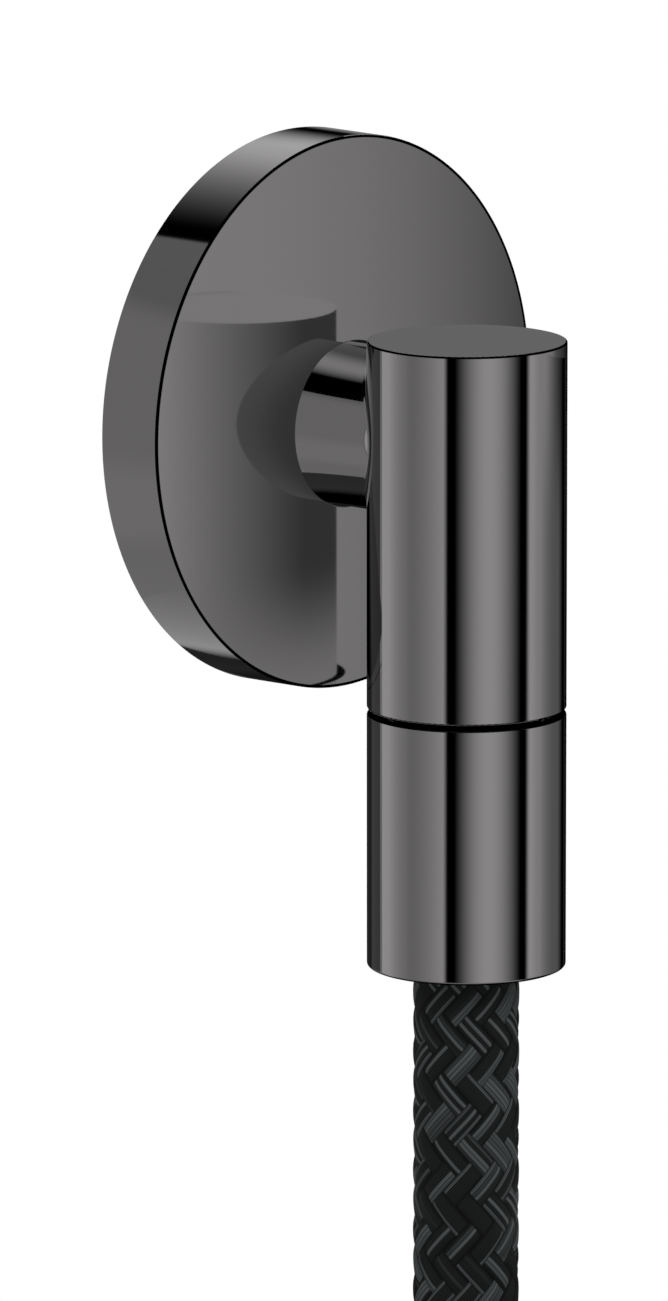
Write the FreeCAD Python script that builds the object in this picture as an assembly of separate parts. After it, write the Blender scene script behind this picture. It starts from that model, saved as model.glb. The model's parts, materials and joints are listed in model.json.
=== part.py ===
import FreeCAD, Part
import math
import os

# Wall outlet elbow for a hand shower, with its hose.
# Lengths are in millimetres. The origin is on the axis of the wall thread, in the plane of the
# finished wall. +Z is up, the elbow stands out towards -Y and its thread goes into the wall, +Y.
# "Out" is the distance from the wall, so a point that lies out by 10 has y = -10.

Vector = FreeCAD.Vector

# Rosette
flange_back_radius = 35.1
flange_rim_draft = 0.1
flange_depth = 9.2
flange_face_wall = 1.8
flange_rim_wall = 1.8
flange_ledge = 1.0
flange_edge_round = 0.2
flange_inner_round = 1.2
flange_rise = 1.6
flange_shift = -0.9
flange_hole_gap = 0.8
flange_hole_chamfer = 0.25
hub_wall = 3.0
hub_length = 3.6

# Soft rings of the rosette
rim_seal_width = 2.2
rim_seal_depth = 2.0
grip_ring_squeeze = 0.05
grip_groove_slack = 0.2

# Elbow body
neck_radius = 10.3
barrel_radius = 12.5
barrel_out = 28.5
barrel_top = 12.7
barrel_bottom = -33.7
top_edge_round = 0.2
joint_edge_round = 0.25
waterway_radius = 5.0
waterway_top = 5.5
spigot_pocket_radius = 8.0
spigot_pocket_out = 21.2

# Pipe thread, G 1/2, drawn at its major diameter
thread_radius = 10.4775
thread_relief = 0.6
thread_relief_length = 1.4
thread_chamfer = 0.8
outlet_thread_length = 10.4
wall_thread_length = 14.5

# Wall nipple
collar_reach = 2.5225
collar_length = 2.0
wall_washer_length = 1.5
fit_gap = 0.1
socket_across_flats = 10.4
socket_depth = 15.0
nipple_tip_chamfer = 0.4
o_ring_groove_depth = 1.4
o_ring_groove_width = 1.8
o_ring_slack = 0.03
front_o_ring_out = 19.1
rear_o_ring_out = 16.2
lock_groove_depth = 1.0
lock_groove_floor = 1.7
lock_groove_slope = 0.7

# Grub screw, M4 with a dog point
screw_out = 13.0
screw_radius = 1.95
screw_hole_gap = 0.05
screw_dog_radius = 0.75
screw_inset = 0.3
screw_socket_across_flats = 2.0
screw_socket_depth = 1.3

# Non-return valve cartridge
valve_radius = 7.5
valve_length = 20.2
valve_mouth_inset = 0.2
valve_wall = 1.6
valve_inlet_radius = 3.9
valve_groove_below_top = 2.8
valve_groove_width = 1.8
valve_groove_depth = 1.3
seat_below_top = 5.0
seat_height = 2.0
seal_wire = 0.55
seal_gap = 0.12
poppet_radius = 4.7
poppet_rim = 1.3
poppet_stem_radius = 1.1
cage_hub_radius = 2.5
cage_hub_length = 3.0
cage_ring_length = 2.4
cage_ring_wall = 0.9
cage_spokes = 3
cage_spoke_width = 1.1
cage_spoke_height = 1.6
spring_wire = 0.3
spring_radius = 1.95
spring_turns = 5
spring_end_gap = 0.05

# Hose nut under the barrel, and the hose's end pieces
joint_gap = 0.7
nut_length = 32.3
nut_bottom_round = 0.4
thread_gap = 0.07
hose_radius = 6.7
hose_bore = 4.0
hose_washer_length = 2.0
hose_washer_bore = 5.0
insert_collar_inset = 1.1775
insert_collar_length = 2.2
insert_hub_radius = 4.5
insert_bore = 2.9
insert_stem_length = 15.0
insert_barbs = 5
insert_barb_depth = 0.35
stem_gap = 0.05
ferrule_wall = 1.05
ferrule_gap = 0.05
ferrule_web = 1.9
ferrule_length = 17.0
ferrule_crimps = 3
ferrule_crimp_depth = 0.25
ferrule_crimp_width = 1.2
glide_length = 0.8
glide_inset = 0.6475
nut_bore_gap = 0.25
nut_relief = 0.3
nut_mouth_chamfer = 0.5

# Nut at the hose's far end, a cone that widens to its mouth
end_nut_tail = 12.0
end_nut_mouth = 10.0
end_nut_tail_radius = 9.6
end_nut_radius = 12.4
end_nut_straight = 14.0
end_nut_round = 0.5

# Hose route: straight down from the nut, then into the hank behind its upper folds
route_drop = -115.0
route_bend = -180.0

# Put-away hank: five runs bound at its waist, with two folds above and two below
fold_radius = 41.0
fold_top = -126.0
fold_neck = 60.0
waist_half = 14.0
column = 6.1
layer = 7.0
hank_rear_out = 22.0
upper_lean = 9.5
lower_lean = -9.5
runs = 5
hank_tail = 122.0
tie_width = 12.0
tie_wall = 1.2
tie_gap = 0.1

# Angles in degrees, and the smallest length that still counts
full_turn = 360
quarter_turn = 90
half_turn = 180
tiny = 1e-6

origin = Vector(0, 0, 0)
x_axis = Vector(1, 0, 0)
y_axis = Vector(0, 1, 0)
z_axis = Vector(0, 0, 1)

# Values that follow from the ones above
flange_front_radius = flange_back_radius - flange_rim_draft
hole_radius = neck_radius + flange_hole_gap
hub_radius = hole_radius + hub_wall
hub_start = flange_depth - flange_face_wall - hub_length
rim_inner_radius = flange_back_radius - flange_rim_wall
ledge_radius = rim_inner_radius - flange_ledge
grip_wire = (hole_radius + hub_wall / 2 - neck_radius) / 2 - grip_ring_squeeze
grip_ring_radius = neck_radius + grip_ring_squeeze + grip_wire
grip_groove_radius = grip_ring_radius + grip_wire + grip_ring_squeeze
grip_groove_width = 2 * grip_wire + grip_groove_slack
grip_out = hub_start + hub_length / 2
collar_radius = thread_radius + collar_reach
neck_back = wall_washer_length + collar_length + fit_gap
outlet_end = barrel_bottom - outlet_thread_length
valve_bottom = outlet_end + valve_mouth_inset
valve_top = valve_bottom + valve_length
valve_pocket_radius = valve_radius + fit_gap
spigot_radius = spigot_pocket_radius - fit_gap
spigot_end = spigot_pocket_out - fit_gap
nut_top = barrel_bottom - joint_gap
nut_bottom = nut_top - nut_length
nut_thread_radius = thread_radius + thread_gap
insert_collar_radius = thread_radius - insert_collar_inset
glide_radius = nut_thread_radius - glide_inset
ferrule_bore = hose_radius + ferrule_gap
ferrule_radius = ferrule_bore + ferrule_wall
nut_bore = ferrule_radius + nut_bore_gap

# Heights above the hose's end face, towards the mouth of its nut
web_low = ferrule_gap
web_high = web_low + ferrule_web
collar_low = web_high + fit_gap
collar_high = collar_low + insert_collar_length
washer_high = collar_high + hose_washer_length
shoulder = collar_low - glide_length
hose_start = outlet_end - washer_high


def outline(points):
    """Closed wire in the plane of radius and height; a third number rounds that corner."""
    corners = [Vector(point[0], 0, point[1]) for point in points]
    count = len(corners)
    bends = []
    for index, corner in enumerate(corners):
        radius = points[index][2] if len(points[index]) > 2 else 0
        if radius <= 0:
            bends.append((corner, None, corner))
            continue
        back = (corners[index - 1] - corner).normalize()
        ahead = (corners[(index + 1) % count] - corner).normalize()
        half = back.getAngle(ahead) / 2
        reach = radius / math.tan(half)
        middle_way = (back + ahead).normalize()
        nearest = corner + middle_way * (radius / math.sin(half) - radius)
        bends.append((corner + back * reach, nearest, corner + ahead * reach))
    edges = []
    for index, (first, nearest, last) in enumerate(bends):
        if nearest is not None:
            edges.append(Part.Arc(first, nearest, last).toShape())
        following = bends[(index + 1) % count][0]
        if last.distanceToPoint(following) > tiny:
            edges.append(Part.LineSegment(last, following).toShape())
    return Part.Wire(edges)


def turned(points):
    """Solid of revolution about Z of a profile of (radius, height) points."""
    return Part.Face(outline(points)).revolve(origin, z_axis, full_turn)


def out_of_wall(shape, shift=0.0, rise=0.0):
    """Lays a shape that was turned about Z on the axis that points out of the wall."""
    shape.rotate(origin, x_axis, quarter_turn)
    shape.translate(Vector(shift, 0, rise))
    return shape


def on_barrel(shape):
    """Moves a shape that was turned about Z to the barrel's axis."""
    shape.translate(Vector(0, -barrel_out, 0))
    return shape


def hexagon(across_flats, low, high):
    """Six-sided prism about Z between two heights."""
    corner = across_flats / math.sqrt(3)
    sides = 6
    points = []
    for index in range(sides + 1):
        angle = math.radians(full_turn * index / sides)
        points.append(Vector(corner * math.cos(angle), corner * math.sin(angle), low))
    face = Part.Face(Part.makePolygon(points))
    return face.extrude(Vector(0, 0, high - low))


def ring(inner, outer, low, high, rounding=0.0):
    """Flat ring about Z with rounded outer edges."""
    return turned([(inner, low), (outer, low, rounding), (outer, high, rounding), (inner, high)])


def torus(radius, wire, height):
    """O-ring about Z, its centre circle at the height given."""
    return Part.makeTorus(radius, wire, Vector(0, 0, height), z_axis)


def make_wall_flange():
    """Round rosette, open at the back, with a hub that holds the grip ring."""
    shell = turned([
        (0, 0), (flange_back_radius, 0), (flange_front_radius, flange_depth, flange_edge_round),
        (0, flange_depth)])
    cavity_top = flange_depth - flange_face_wall
    cavity = turned([
        (0, -1), (rim_inner_radius, -1), (rim_inner_radius, rim_seal_depth),
        (ledge_radius, rim_seal_depth), (ledge_radius, cavity_top, flange_inner_round),
        (0, cavity_top)])
    shell = out_of_wall(shell.cut(cavity), flange_shift, flange_rise)
    hub = out_of_wall(turned([
        (0, hub_start), (hub_radius, hub_start), (hub_radius, cavity_top + fit_gap),
        (0, cavity_top + fit_gap)]))
    chamfer_start = flange_depth - flange_hole_chamfer
    hole = out_of_wall(turned([
        (0, -1), (hole_radius, -1), (hole_radius, chamfer_start),
        (hole_radius + flange_hole_chamfer, flange_depth),
        (hole_radius + flange_hole_chamfer, flange_depth + 1), (0, flange_depth + 1)]))
    groove = out_of_wall(ring(
        neck_radius, grip_groove_radius, grip_out - grip_groove_width / 2,
        grip_out + grip_groove_width / 2))
    return shell.fuse(hub).cut(hole).cut(groove).removeSplitter()


def make_flange_rim_seal():
    """Soft ring that lies in the step of the rosette's rim and meets the wall."""
    outer = rim_inner_radius - grip_ring_squeeze
    seal = ring(outer - rim_seal_width, outer, 0, rim_seal_depth)
    return out_of_wall(seal, flange_shift, flange_rise)


def make_flange_grip_ring():
    """O-ring in the rosette's hub that grips the neck."""
    return out_of_wall(torus(grip_ring_radius, grip_wire, grip_out))


def make_elbow_body():
    """Neck, barrel and outlet thread in one piece, bored for water."""
    barrel = on_barrel(turned([
        (0, barrel_top), (barrel_radius, barrel_top, top_edge_round),
        (barrel_radius, barrel_bottom, joint_edge_round),
        (thread_radius - thread_relief, barrel_bottom),
        (thread_radius - thread_relief, barrel_bottom - thread_relief_length),
        (thread_radius, barrel_bottom - thread_relief_length - thread_relief),
        (thread_radius, outlet_end + thread_chamfer),
        (thread_radius - thread_chamfer, outlet_end), (0, outlet_end)]))
    neck = out_of_wall(turned([
        (0, neck_back), (neck_radius, neck_back, joint_edge_round), (neck_radius, barrel_out),
        (0, barrel_out)]))
    spigot_pocket = out_of_wall(Part.makeCylinder(
        spigot_pocket_radius, spigot_pocket_out - neck_back + 1, Vector(0, 0, neck_back - 1)))
    crossway = out_of_wall(Part.makeCylinder(
        waterway_radius, barrel_out - spigot_pocket_out + 1, Vector(0, 0, spigot_pocket_out - 1)))
    downway = on_barrel(turned([
        (0, outlet_end - 1), (valve_pocket_radius, outlet_end - 1),
        (valve_pocket_radius, valve_top + fit_gap), (waterway_radius, valve_top + fit_gap),
        (waterway_radius, waterway_top), (0, waterway_top + waterway_radius / 2)]))
    screw_hole = Part.makeCylinder(
        screw_radius + screw_hole_gap, neck_radius, Vector(0, -screw_out, -neck_radius - 1))
    body = barrel.fuse(neck).removeSplitter()
    return body.cut(spigot_pocket).cut(crossway).cut(downway).cut(screw_hole)


def o_ring_groove(out):
    """Cutter for one O-ring groove round the nipple's spigot."""
    return ring(
        spigot_radius - o_ring_groove_depth, spigot_radius + 1, out - o_ring_groove_width / 2,
        out + o_ring_groove_width / 2)


def make_wall_nipple():
    """Threaded nipple with a collar, and a spigot that carries the neck."""
    collar_back = wall_washer_length
    collar_front = wall_washer_length + collar_length
    groove_half = lock_groove_floor / 2
    body = turned([
        (waterway_radius, -wall_thread_length),
        (thread_radius - thread_chamfer, -wall_thread_length),
        (thread_radius, thread_chamfer - wall_thread_length), (thread_radius, 0),
        (thread_radius - thread_relief, 0), (thread_radius - thread_relief, collar_back),
        (collar_radius, collar_back, joint_edge_round),
        (collar_radius, collar_front, joint_edge_round), (spigot_radius, collar_front),
        (spigot_radius, screw_out - groove_half - lock_groove_slope),
        (spigot_radius - lock_groove_depth, screw_out - groove_half),
        (spigot_radius - lock_groove_depth, screw_out + groove_half),
        (spigot_radius, screw_out + groove_half + lock_groove_slope),
        (spigot_radius, spigot_end - nipple_tip_chamfer),
        (spigot_radius - nipple_tip_chamfer, spigot_end), (waterway_radius, spigot_end)])
    socket = hexagon(socket_across_flats, spigot_end - socket_depth, spigot_end + 1)
    body = body.cut(socket).cut(o_ring_groove(front_o_ring_out)).cut(o_ring_groove(rear_o_ring_out))
    return out_of_wall(body)


def make_nipple_o_ring(out):
    """O-ring between the nipple's spigot and the neck."""
    floor = spigot_radius - o_ring_groove_depth
    wire = (spigot_pocket_radius - floor) / 2 - o_ring_slack
    return out_of_wall(torus(floor + o_ring_slack + wire, wire, out))


def make_wall_thread_washer():
    """Flat seal between the nipple's collar and the fitting in the wall."""
    return out_of_wall(ring(thread_radius + fit_gap, collar_radius, 0, wall_washer_length))


def make_grub_screw():
    """Socket screw in the neck's underside, its point in the nipple's groove."""
    groove_floor = spigot_radius - lock_groove_depth
    tip = groove_floor + stem_gap
    step = spigot_pocket_radius + stem_gap
    head = neck_radius - screw_inset
    screw = turned([
        (0, tip), (screw_dog_radius, tip), (screw_dog_radius, step), (screw_radius, step),
        (screw_radius, head), (0, head)])
    screw = screw.cut(hexagon(screw_socket_across_flats, head - screw_socket_depth, head + 1))
    screw.rotate(origin, x_axis, half_turn)
    screw.translate(Vector(0, -screw_out, 0))
    return screw


def make_valve_housing():
    """Sleeve of the non-return valve, with its conical seat and an O-ring groove."""
    chamber = valve_radius - valve_wall
    groove_floor = valve_radius - valve_groove_depth
    groove_high = valve_top - valve_groove_below_top
    groove_low = groove_high - valve_groove_width
    seat_high = valve_top - seat_below_top
    return on_barrel(turned([
        (valve_inlet_radius, valve_top), (valve_radius, valve_top, fit_gap),
        (valve_radius, groove_high), (groove_floor, groove_high), (groove_floor, groove_low),
        (valve_radius, groove_low), (valve_radius, valve_bottom, fit_gap),
        (chamber, valve_bottom), (chamber, seat_high - seat_height),
        (valve_inlet_radius, seat_high)]))


def make_valve_o_ring():
    """O-ring between the valve's housing and the barrel."""
    floor = valve_radius - valve_groove_depth
    wire = (valve_pocket_radius - floor) / 2 - o_ring_slack
    height = valve_top - valve_groove_below_top - valve_groove_width / 2
    return on_barrel(torus(floor + o_ring_slack + wire, wire, height))


def seal_place():
    """Radius and height of the poppet seal's centre circle, just clear of the seat's cone."""
    seat_run = valve_radius - valve_wall - valve_inlet_radius
    slope = math.hypot(seat_run, seat_height)
    radius = valve_inlet_radius + seat_run / 4
    on_cone = valve_top - seat_below_top - seat_height / 4
    height = on_cone - (seal_wire + seal_gap) * slope / seat_run
    return radius, height


def make_valve_poppet():
    """Valve disc with a guide stem; its groove holds the seal."""
    seal_radius, seal_height = seal_place()
    rim_high = seal_height - seal_wire
    rim_low = rim_high - poppet_rim
    nose_radius = seal_radius - seal_wire
    stem_end = valve_bottom + cage_hub_length / 2
    nose = valve_inlet_radius - nose_radius + seal_wire
    return on_barrel(turned([
        (0, seal_height + seal_wire + nose), (nose_radius / 2, seal_height + seal_wire + nose, seal_wire),
        (nose_radius, seal_height + seal_wire), (nose_radius, rim_high), (poppet_radius, rim_high),
        (poppet_radius, rim_low), (poppet_stem_radius, rim_low), (poppet_stem_radius, stem_end),
        (0, stem_end)]))


def make_poppet_seal():
    """Soft ring on the poppet's shoulder."""
    seal_radius, seal_height = seal_place()
    clearance = seal_gap / 4
    return on_barrel(torus(seal_radius + clearance, seal_wire - clearance, seal_height))


def cage_hub_top():
    """Height of the cage hub's upper face, on which the spring stands."""
    return valve_bottom + fit_gap + cage_hub_length


def make_valve_cage():
    """Spoked guide in the housing's lower end, for the poppet's stem and the spring."""
    outer = valve_radius - valve_wall - stem_gap
    low = valve_bottom + fit_gap
    rim = ring(outer - cage_ring_wall, outer, low, low + cage_ring_length)
    hub = ring(poppet_stem_radius + fit_gap, cage_hub_radius, low, cage_hub_top())
    cage = rim.fuse(hub)
    reach = outer - cage_ring_wall / 2 - cage_hub_radius + spring_wire
    for index in range(cage_spokes):
        spoke = Part.makeBox(
            reach, cage_spoke_width, cage_spoke_height,
            Vector(cage_hub_radius - spring_wire, -cage_spoke_width / 2, low))
        spoke.rotate(origin, z_axis, full_turn * index / cage_spokes)
        cage = cage.fuse(spoke)
    return on_barrel(cage.removeSplitter())


def make_valve_spring():
    """Compression spring between the cage's hub and the poppet."""
    seal_height = seal_place()[1]
    low = cage_hub_top() + spring_wire + spring_end_gap
    high = seal_height - seal_wire - poppet_rim - spring_wire - spring_end_gap
    height = high - low
    helix = Part.makeHelix(height / spring_turns, height, spring_radius)
    profile = Part.Wire(Part.makeCircle(spring_wire, Vector(spring_radius, 0, 0), y_axis))
    spring = Part.Wire(helix).makePipeShell([profile], True, True)
    spring.translate(Vector(0, 0, low))
    return on_barrel(spring)


def nut_profile(mouth, tail, outer_points):
    """Bore of a union nut, from its mouth to its tail, closed by the outer points given."""
    return [
        (nut_bore + nut_mouth_chamfer, -tail), (nut_bore, nut_mouth_chamfer - tail),
        (nut_bore, shoulder), (nut_thread_radius + nut_relief, shoulder),
        (nut_thread_radius + nut_relief, washer_high), (nut_thread_radius, washer_high),
        (nut_thread_radius, mouth - nut_mouth_chamfer),
        (nut_thread_radius + nut_mouth_chamfer, mouth)] + outer_points


def make_hose_nut():
    """Cylindrical union nut, flush with the barrel."""
    mouth = nut_top - hose_start
    tail = hose_start - nut_bottom
    nut = turned(nut_profile(mouth, tail, [
        (barrel_radius, mouth, joint_edge_round), (barrel_radius, -tail, nut_bottom_round)]))
    return at_outlet(nut)


def make_end_nut():
    """Conical union nut at the hose's far end."""
    mouth = washer_high + end_nut_mouth
    nut = turned(nut_profile(mouth, end_nut_tail, [
        (end_nut_radius, mouth, end_nut_round),
        (end_nut_radius, mouth - end_nut_straight, end_nut_straight),
        (end_nut_tail_radius, -end_nut_tail, end_nut_round / 2)]))
    return at_far_end(nut)


def at_outlet(shape):
    """Places a hose end piece under the barrel, its mouth up."""
    shape.translate(Vector(0, -barrel_out, hose_start))
    return shape


def at_far_end(shape):
    """Places a hose end piece at the hose's far end, its mouth down."""
    shape.rotate(origin, x_axis, half_turn)
    shape.translate(far_end_point())
    return shape


def make_hose_washer():
    """Flat seal on the insert's collar."""
    return ring(hose_washer_bore, insert_collar_radius, collar_high, washer_high)


def make_hose_insert():
    """Collar and barbed stem inside the hose."""
    stem = hose_bore - stem_gap
    pitch = insert_stem_length / insert_barbs
    points = [
        (insert_bore, collar_high), (insert_collar_radius, collar_high),
        (insert_collar_radius, collar_low), (insert_hub_radius, collar_low),
        (insert_hub_radius, 0), (stem, 0)]
    for index in range(insert_barbs):
        points.append((stem, -(index + 1 / 2) * pitch))
        points.append((stem - insert_barb_depth, -(index + 1 / 2) * pitch))
        if index < insert_barbs - 1:
            points.append((stem, -(index + 1) * pitch))
    points.append((stem - insert_barb_depth, -insert_stem_length))
    points.append((insert_bore, -insert_stem_length))
    return turned(points)


def make_hose_ferrule():
    """Crimped sleeve over the hose's end."""
    points = [
        (insert_hub_radius + stem_gap, web_low), (insert_hub_radius + stem_gap, web_high),
        (ferrule_radius, web_high, ferrule_crimp_depth)]
    step = ferrule_length / (ferrule_crimps + 1)
    for index in range(ferrule_crimps):
        middle = -(index + 1) * step + web_high
        points.append((ferrule_radius, middle + ferrule_crimp_width / 2))
        points.append((ferrule_radius - ferrule_crimp_depth, middle))
        points.append((ferrule_radius, middle - ferrule_crimp_width / 2))
    points.append((ferrule_radius, web_high - ferrule_length, ferrule_crimp_depth))
    points.append((ferrule_bore, web_high - ferrule_length))
    points.append((ferrule_bore, web_low))
    return turned(points)


def make_glide_ring():
    """Slip ring between the nut's shoulder and the insert's collar."""
    return ring(nut_bore + fit_gap, glide_radius, shoulder, collar_low)


def hose_route():
    """Corners of the hose's path from inside the nut down to the hank's waist."""
    waist_top = fold_top - fold_radius - fold_neck
    return [
        Vector(0, -barrel_out, hose_start), Vector(0, -barrel_out, route_drop),
        Vector(-column, -hank_rear_out, route_bend), Vector(-column, -hank_rear_out, waist_top)]


def far_end_point():
    """Centre of the hose's end face at its far end."""
    waist_bottom = fold_top - fold_radius - fold_neck - 2 * waist_half
    return Vector(-column, -hank_rear_out - (runs - 1) * layer, waist_bottom - hank_tail)


def rounded_path(points):
    """Straight runs joined by tangent arcs, as large as the shorter run allows."""
    share = 0.45
    edges = []
    start = points[0]
    for before, corner, after in zip(points, points[1:], points[2:]):
        back = before - corner
        ahead = after - corner
        reach = share * min(back.Length, ahead.Length)
        turn = math.pi - back.getAngle(ahead)
        radius = reach / math.tan(turn / 2)
        print("hose bend radius", round(radius, 1), "mm")
        back.normalize()
        ahead.normalize()
        first = corner + back * reach
        last = corner + ahead * reach
        inward = (back + ahead).normalize()
        nearest = corner + inward * (radius / math.cos(turn / 2) - radius)
        edges.append(Part.LineSegment(start, first).toShape())
        edges.append(Part.Arc(first, nearest, last).toShape())
        start = last
    edges.append(Part.LineSegment(start, points[-1]).toShape())
    return Part.Wire(edges)


def make_hose_tube():
    """Hose from the nut to the hank, a tube along the route."""
    path = rounded_path(hose_route())
    start = path.Vertexes[0].Point
    outside = path.makePipeShell([Part.Wire(Part.makeCircle(hose_radius, start, z_axis))], True, True)
    inside = path.makePipeShell([Part.Wire(Part.makeCircle(hose_bore, start, z_axis))], True, True)
    tube = outside.cut(inside)
    section = math.pi * (hose_radius ** 2 - hose_bore ** 2)
    print("hose tube volume", round(tube.Volume), "section times length", round(section * path.Length))
    return tube


def make_hose_end_tube():
    """Last straight stretch of the hose, below the hank's waist."""
    tube = ring(hose_bore, hose_radius, 0, hank_tail)
    tube.translate(far_end_point())
    return tube


def fold_outline(foot, neck, radius, direction, waist):
    """Outline of one fold: two feet at the waist that widen to a round end."""
    centre = waist + direction * neck
    lean = math.asin(radius / math.hypot(foot, neck)) - math.atan2(foot, neck)
    side = radius * math.cos(lean)
    height = centre - direction * radius * math.sin(lean)
    feet = [Vector(foot, 0, waist), Vector(-foot, 0, waist)]
    right = Vector(side, 0, height)
    left = Vector(-side, 0, height)
    top = Vector(0, 0, centre + direction * radius)
    edges = [
        Part.LineSegment(feet[0], right).toShape(), Part.Arc(right, top, left).toShape(),
        Part.LineSegment(left, feet[1]).toShape()]
    if foot > 0:
        edges.append(Part.LineSegment(feet[1], feet[0]).toShape())
    return Part.Face(Part.Wire(edges))


def fold_plate(direction, near_out, far_out):
    """Folds above or below the waist as one plate with an eye, between two distances out."""
    waist_middle = fold_top - fold_radius - fold_neck - waist_half
    waist = waist_middle + direction * waist_half
    outer = fold_outline(
        column + hose_radius, fold_neck, fold_radius + hose_radius, direction, waist)
    eye_radius = fold_radius - hose_radius
    eye_neck = eye_radius + (fold_neck - eye_radius) / 2
    eye = fold_outline(0, eye_neck, eye_radius, direction, waist + direction * (fold_neck - eye_neck))
    plate = outer.cut(eye).extrude(Vector(0, near_out - far_out, 0))
    plate.translate(Vector(0, -near_out, 0))
    return plate


def make_hose_hank():
    """Outer shape of the put-away hose: folds above and below a bound waist."""
    front_out = hank_rear_out + (runs - 1) * layer
    waist_middle = fold_top - fold_radius - fold_neck - waist_half
    first_upper = hank_rear_out + 3 / 2 * layer + upper_lean
    first_lower = hank_rear_out + 1 / 2 * layer + lower_lean
    spread = 2 * layer
    upper = fold_plate(1, first_upper - hose_radius, first_upper + spread + hose_radius)
    lower = fold_plate(-1, first_lower - hose_radius, first_lower + spread + hose_radius)
    half_width = column + hose_radius
    depth = front_out - hank_rear_out + 2 * hose_radius
    waist = Part.makeBox(
        2 * half_width, depth, 2 * waist_half,
        Vector(-half_width, -front_out - hose_radius, waist_middle - waist_half))
    return upper.fuse(lower).fuse(waist).removeSplitter()


def make_hank_tie():
    """Strap round the hank's waist."""
    front_out = hank_rear_out + (runs - 1) * layer
    waist_middle = fold_top - fold_radius - fold_neck - waist_half
    half_width = column + hose_radius + tie_gap
    half_depth = (front_out - hank_rear_out) / 2 + hose_radius + tie_gap
    middle = -(front_out + hank_rear_out) / 2

    def block(extra):
        size_x = half_width + extra
        size_y = half_depth + extra
        return Part.makeBox(
            2 * size_x, 2 * size_y, tie_width,
            Vector(-size_x, middle - size_y, waist_middle - tie_width / 2))

    return block(tie_wall).cut(block(0))


def build():
    """All sub-parts by node name."""
    return {
        "wall_flange": make_wall_flange(),
        "flange_rim_seal": make_flange_rim_seal(),
        "flange_grip_ring": make_flange_grip_ring(),
        "elbow_body": make_elbow_body(),
        "wall_nipple": make_wall_nipple(),
        "nipple_o_ring_front": make_nipple_o_ring(front_o_ring_out),
        "nipple_o_ring_rear": make_nipple_o_ring(rear_o_ring_out),
        "wall_thread_washer": make_wall_thread_washer(),
        "grub_screw": make_grub_screw(),
        "valve_housing": make_valve_housing(),
        "valve_o_ring": make_valve_o_ring(),
        "valve_poppet": make_valve_poppet(),
        "poppet_seal": make_poppet_seal(),
        "valve_cage": make_valve_cage(),
        "valve_spring": make_valve_spring(),
        "hose_nut": make_hose_nut(),
        "hose_washer": at_outlet(make_hose_washer()),
        "hose_insert": at_outlet(make_hose_insert()),
        "nut_glide_ring": at_outlet(make_glide_ring()),
        "hose_ferrule": at_outlet(make_hose_ferrule()),
        "hose_tube": make_hose_tube(),
        "hose_hank": make_hose_hank(),
        "hank_tie": make_hank_tie(),
        "hose_end_tube": make_hose_end_tube(),
        "end_nut": make_end_nut(),
        "end_washer": at_far_end(make_hose_washer()),
        "end_insert": at_far_end(make_hose_insert()),
        "end_glide_ring": at_far_end(make_glide_ring()),
        "end_ferrule": at_far_end(make_hose_ferrule()),
    }


os.makedirs("parts", exist_ok=True)
for node, shape in build().items():
    solid_count = len(shape.Solids)
    print(node, "solids", solid_count, "valid", shape.isValid(), "volume", round(shape.Volume, 1))
    shape.exportStep("parts/" + node + ".step")
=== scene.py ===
import json
import math
from functools import partialmethod

import bpy
import numpy as np
from mathutils import Matrix, Vector


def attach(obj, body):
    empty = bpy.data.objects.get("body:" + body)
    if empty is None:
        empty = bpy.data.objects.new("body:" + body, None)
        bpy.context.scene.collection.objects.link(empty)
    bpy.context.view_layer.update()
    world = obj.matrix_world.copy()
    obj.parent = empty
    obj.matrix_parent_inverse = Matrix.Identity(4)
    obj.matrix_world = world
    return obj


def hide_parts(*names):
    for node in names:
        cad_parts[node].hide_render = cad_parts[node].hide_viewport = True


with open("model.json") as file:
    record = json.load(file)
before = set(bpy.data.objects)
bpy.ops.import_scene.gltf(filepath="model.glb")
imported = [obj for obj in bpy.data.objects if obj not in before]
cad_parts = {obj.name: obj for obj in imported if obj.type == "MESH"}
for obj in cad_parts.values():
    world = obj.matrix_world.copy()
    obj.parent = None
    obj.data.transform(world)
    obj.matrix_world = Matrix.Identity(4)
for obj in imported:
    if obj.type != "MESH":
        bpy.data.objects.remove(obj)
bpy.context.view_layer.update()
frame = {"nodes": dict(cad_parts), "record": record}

# Wall outlet elbow with its shower hose, dressed for a white product picture. Lengths are in metres.
# The origin is on the wall thread's axis in the plane of the wall, +Z up, -Y out of the wall.

MM = 0.001
FULL = 2 * math.pi

# Camera: where it looks from and at, and its lens
CAMERA_AZIMUTH = -47.8929
CAMERA_ELEVATION = 11.0424
CAMERA_ROLL = -0.0615
CAMERA_DISTANCE = 1.33336
CAMERA_ASIDE = -0.013955
CAMERA_RAISED = -0.026506
CAMERA_TARGET_OUT = 25 * MM
LENS_MM = 295.87
SENSOR_MM = 36.0

# Rosette
ROSETTE_CENTRE = (-0.9 * MM, 1.6 * MM)
ROSETTE_BACK_RADIUS = 35.1 * MM
ROSETTE_FRONT_RADIUS = 35.0 * MM
ROSETTE_DEPTH = 9.2 * MM
ROSETTE_HOLE = 10.5 * MM
ROSETTE_WALL = 1.8 * MM
ROSETTE_LEDGE = 32.3 * MM
SEAL_DEPTH = 2.0 * MM
HUB_RADIUS = 14.1 * MM
HUB_START = 3.8 * MM
GRIP_OUT = 5.6 * MM
GRIP_GROOVE_RADIUS = 12.6 * MM
GRIP_GROOVE_HALF = 1.2 * MM

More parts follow.
